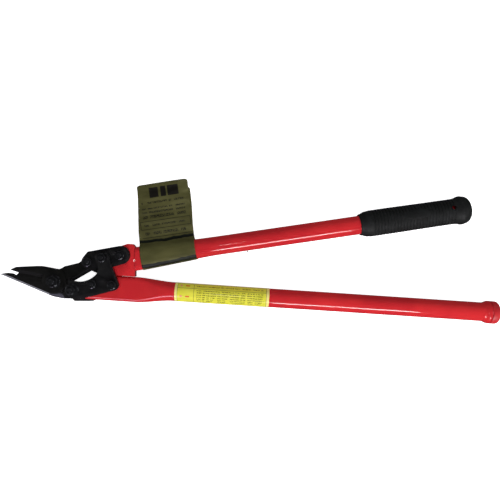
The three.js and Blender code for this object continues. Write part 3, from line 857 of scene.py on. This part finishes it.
def thread_rows(size, bottom, top):
    """A screw thread: each point's radius follows its height and how far round it is."""
    depth = 0.3 * size["pitch"]
    rows = []
    for height in steps(bottom, top, int((top - bottom) / size["pitch"] * 8)):
        row = []
        for j in range(HEX_SIDES):
            angle = 2 * math.pi * j / HEX_SIDES
            phase = (height / size["pitch"] - j / HEX_SIDES) % 1
            valley = 1 - abs(2 * phase - 1)
            taper = max(0.0, height - (top - 0.7))
            radius = min(size["shank"] - depth * valley, size["shank"] - taper)
            row.append((radius * math.cos(angle), radius * math.sin(angle), height))
        rows.append(row)
    return rows


def node_spot(node):
    low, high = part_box(node)
    return (low + high) / 2, low.z, high.z


def place_at(spot, turn=0):
    return Matrix.Translation((spot.x, spot.y, 0)) @ Matrix.Rotation(math.radians(turn), 4, "Z")


def add_fastener(name, body, size, turn):
    """A hexagon bolt from below with its threaded end out of a nut on top."""
    spot, bottom, top = node_spot(name + "_bolt")
    _, nut_bottom, nut_top = node_spot(name + "_nut")
    bottom, top, nut_bottom, nut_top = (height / MM for height in (bottom, top, nut_bottom, nut_top))
    head, shank, across = size["head"], size["shank"], size["across"]
    rows = [round_row(TIP_RADIUS, bottom + 0.15), round_row(across * 0.3, bottom + 0.15)]
    rows += [round_row(across * 0.36, bottom), *hex_rows(across, bottom, bottom + head, True, False)]
    rows += [round_row(shank, bottom + head), round_row(shank, nut_bottom)]
    rows += thread_rows(size, nut_bottom + 0.5, top)
    rows += [round_row(TIP_RADIUS, top)]
    place = place_at(spot, turn)
    mesh = make_mesh(name + "_bolt_mesh", *skin(rows))
    bolt = add_piece(
        name + "_bolt_fine", mesh, place, body, [name + "_bolt"], FASTENER, 28
    )
    round_edges(bolt, FASTENER_EDGE, 2, 42)

    bore = shank + 0.12
    rows = [
        round_row(bore, nut_bottom + 0.5), round_row(bore + 0.5, nut_bottom),
        *hex_rows(across, nut_bottom, nut_top, True, True),
        round_row(bore + 0.5, nut_top), round_row(bore, nut_top - 0.5),
    ]
    mesh = make_mesh(name + "_nut_mesh", *skin(rows, looped=True))
    nut = add_piece(name + "_nut_fine", mesh, place, body, [name + "_nut"], FASTENER, 28)
    round_edges(nut, FASTENER_EDGE, 2, 42)


def add_washer(node, body, bore):
    spot, bottom, top = node_spot(node)
    low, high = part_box(node)
    outer = (high.x - low.x) / 2 / MM
    bottom, top = bottom / MM, top / MM
    rows = [
        round_row(bore, bottom), round_row(outer - 0.15, bottom), round_row(outer, bottom + 0.2),
        round_row(outer, top - 0.45), round_row(outer - 0.35, top - 0.1), round_row(outer - 0.7, top),
        round_row(bore + 0.3, top), round_row(bore, top - 0.3),
    ]
    mesh = make_mesh(node + "_mesh", *skin(rows, looped=True))
    add_piece(node + "_fine", mesh, place_at(spot), body, [node], FASTENER, 28)


def add_fasteners():
    for name, turn in NUT_TURNS.items():
        body = "upper_handle" if name in ("drive", "bar") else "lower_handle"
        add_fastener(name, body, PIVOT_HEX if name == "pivot" else SMALL_HEX, turn)
    for node, bore in WASHER_BORES.items():
        add_washer(node, "lower_handle", bore)


# ---- Studio -------------------------------------------------------------------------------

CAMERA_HEIGHT = 0.550
CAMERA_FROM_PIVOT = (0.2325, 0.0372)
HALF_VIEW = 0.300
SENSOR = 36
FLOOR = {"level": -0.0003, "radius": 3.0, "sweep": 1.0, "wall": 5.0, "sides": 96}
WORLD_STRENGTH = 0.06
MIDDLE = (0, 0, 0)
CREASE_TINT = (0.95, 0.8, 1.0)
WHITE = (1, 1, 1)

# Each lamp: where it hangs, what it points at, its size, its power, its colour and whether it shows
# in reflections.
LAMPS = {
    "key": ((0.18, -0.5, 0.48), (0.1, 0, 0), (0.5, 0.3), 3.0, WHITE, False),
    "fill": ((0.25, 1.25, 0.7), MIDDLE, (1.6, 0.6), 11, WHITE, False),
    "left": ((-1.5, -0.1, 0.85), MIDDLE, (0.6, 1.4), 1.5, WHITE, True),
    "right": ((1.5, -0.2, 0.85), MIDDLE, (0.6, 1.4), 3.5, WHITE, True),
    "streak": ((0.33, -1.25, 0.85), MIDDLE, (0.62, 0.24), 11, WHITE, True),
    "crease": ((-0.62, -1.25, 0.85), MIDDLE, (0.5, 0.4), 5, CREASE_TINT, True),
    "glint": ((-0.06, -0.06, 0.95), (0, 0, 0.02), (0.12, 0.02), 0.3, WHITE, True),
}


def add_camera():
    data = bpy.data.cameras.new("camera")
    data.sensor_width = SENSOR
    data.lens = SENSOR / 2 * CAMERA_HEIGHT / HALF_VIEW
    data.clip_start = 0.01
    camera = bpy.data.objects.new("camera", data)
    camera.location = PIVOT + Vector((*CAMERA_FROM_PIVOT, CAMERA_HEIGHT))
    bpy.context.scene.collection.objects.link(camera)
    bpy.context.scene.camera = camera


def add_lamp(name, location, target, size, power, colour, mirrored):
    """A rectangular lamp; one that is not mirrored lights the object but has no reflection in it."""
    data = bpy.data.lights.new(name, "AREA")
    data.shape = "RECTANGLE"
    data.size, data.size_y = size
    data.energy = power
    data.color = colour
    light = bpy.data.objects.new(name, data)
    light.location = location
    direction = Vector(target) - Vector(location)
    light.rotation_euler = direction.to_track_quat("-Z", "Y").to_euler()
    light.visible_camera = False
    light.visible_glossy = mirrored
    bpy.context.scene.collection.objects.link(light)


def floor_mesh():
    """A round floor that sweeps up into a wall all round, so that every view has a pale background."""
    profile = [(0.001, FLOOR["level"]), (FLOOR["radius"], FLOOR["level"])]
    for turn in steps(0, 90, 12):
        lean = math.radians(turn)
        profile.append((FLOOR["radius"] + FLOOR["sweep"] * math.sin(lean),
                        FLOOR["level"] + FLOOR["sweep"] * (1 - math.cos(lean))))
    profile.append((FLOOR["radius"] + FLOOR["sweep"], FLOOR["wall"]))
    around = FLOOR["sides"]
    points = []
    for radius, height in profile:
        points += [(radius * math.cos(a), radius * math.sin(a), height) for a in full_turn(around)]
    faces = []
    for i in range(len(profile) - 1):
        for j in range(around):
            k = (j + 1) % around
            faces.append((i * around + j, i * around + k, (i + 1) * around + k, (i + 1) * around + j))
    mesh = bpy.data.meshes.new("floor")
    mesh.from_pydata(points, [], faces)
    mesh.shade_smooth()
    mesh.materials.append(pale_floor())
    return mesh


def add_studio():
    floor = bpy.data.objects.new("floor", floor_mesh())
    floor.visible_diffuse = False
    floor.visible_glossy = False
    floor.visible_shadow = False
    bpy.context.scene.collection.objects.link(floor)

    world = bpy.data.worlds.new("studio")
    world.use_nodes = True
    background = world.node_tree.nodes["Background"]
    background.inputs["Color"].default_value = (1, 1, 1, 1)
    background.inputs["Strength"].default_value = WORLD_STRENGTH
    bpy.context.scene.world = world
    bpy.context.scene.view_settings.view_transform = "Standard"
    for name, settings in LAMPS.items():
        add_lamp(name, *settings)


finish_kept_nodes()
add_tubes()
add_end_cap()
add_label()
add_grip()
add_tag()
add_fasteners()
add_camera()
add_studio()
